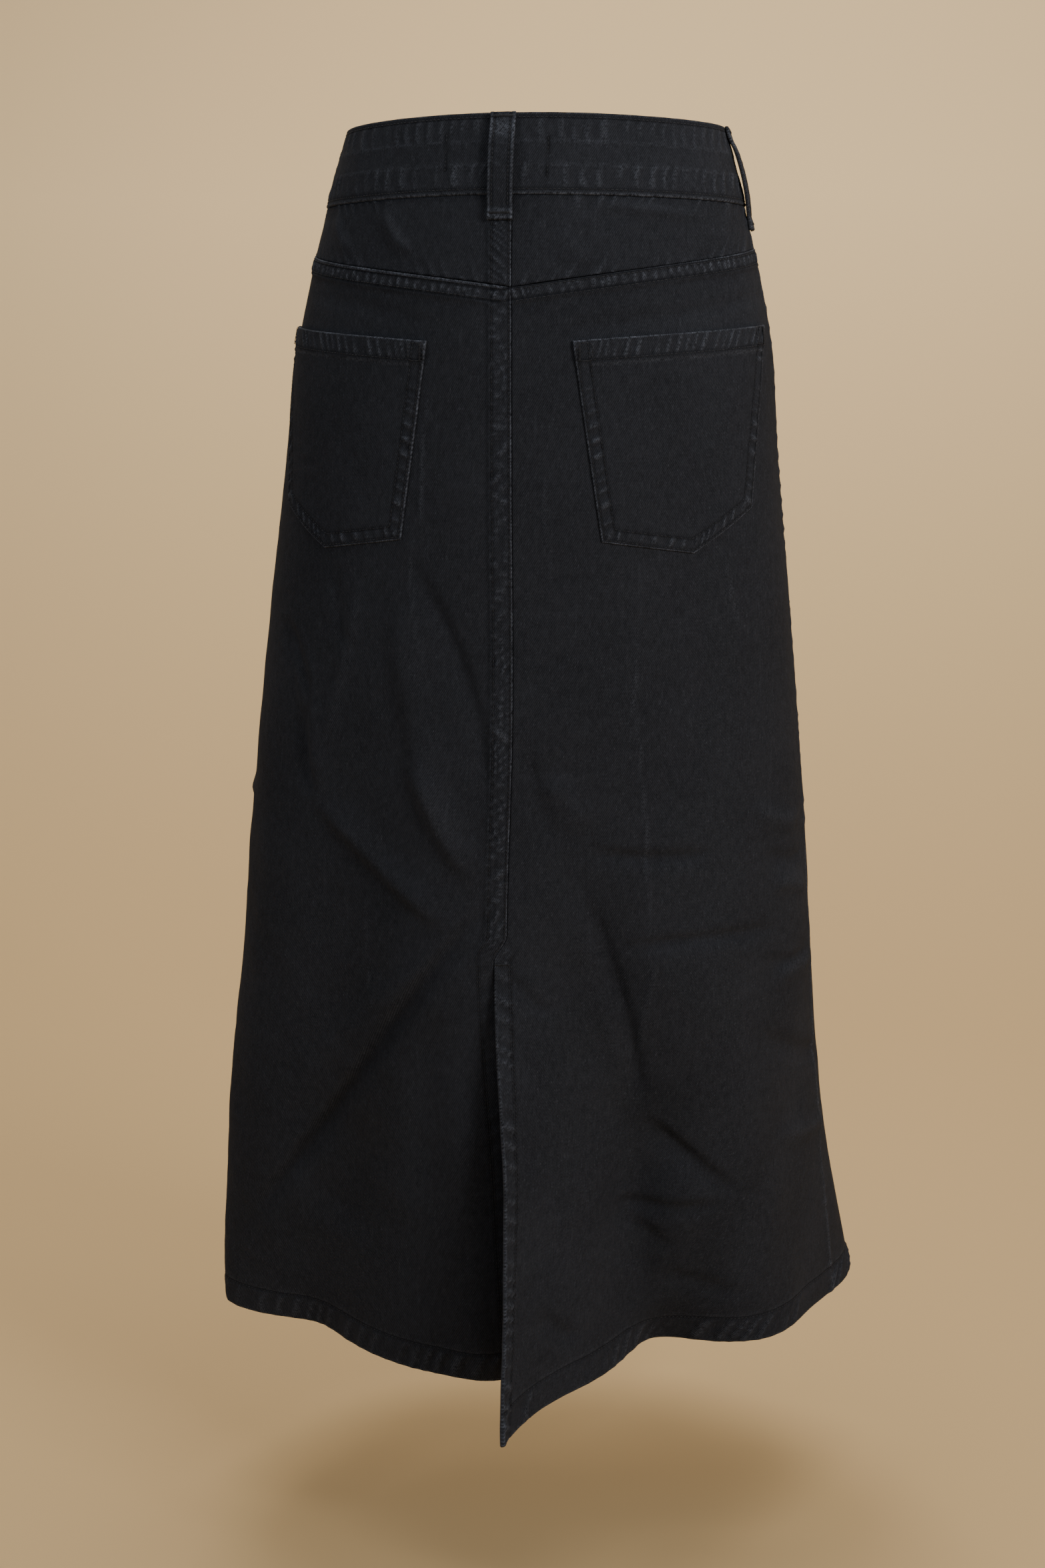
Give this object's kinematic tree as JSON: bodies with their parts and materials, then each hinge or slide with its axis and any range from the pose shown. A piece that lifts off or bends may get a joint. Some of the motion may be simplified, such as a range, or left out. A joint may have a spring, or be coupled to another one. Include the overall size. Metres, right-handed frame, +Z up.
{
  "type": "denim skirt",
  "caption": "Ankle-length charcoal denim skirt in its worn, hollow shape: waistband, yoke, patch pockets and an open slit below the centre back seam.",
  "frame": {"origin": "middle of the waist opening, at the waistband's upper edge", "axes": "+Z up, the wearer faces -Y, +X towards the wearer's left"},
  "size_m": [0.5019, 0.401, 0.9187],
  "materials": {
    "denim": "washed charcoal cotton twill, worn paler on seams and edges",
    "button_metal": "dull dark nickel"
  },
  "bodies": {
    "root": {"waistband": "denim", "back_yoke_left": "denim", "back_yoke_right": "denim", "back_panel_left": "denim", "back_panel_right": "denim", "front_panel_left": "denim", "front_panel_right": "denim", "fly_shield": "denim", "back_pocket_left": "denim", "back_pocket_right": "denim", "belt_loop_back": "denim", "belt_loop_left": "denim", "belt_loop_right": "denim", "waistband_button": "button_metal"}
  },
  "joints": []
}
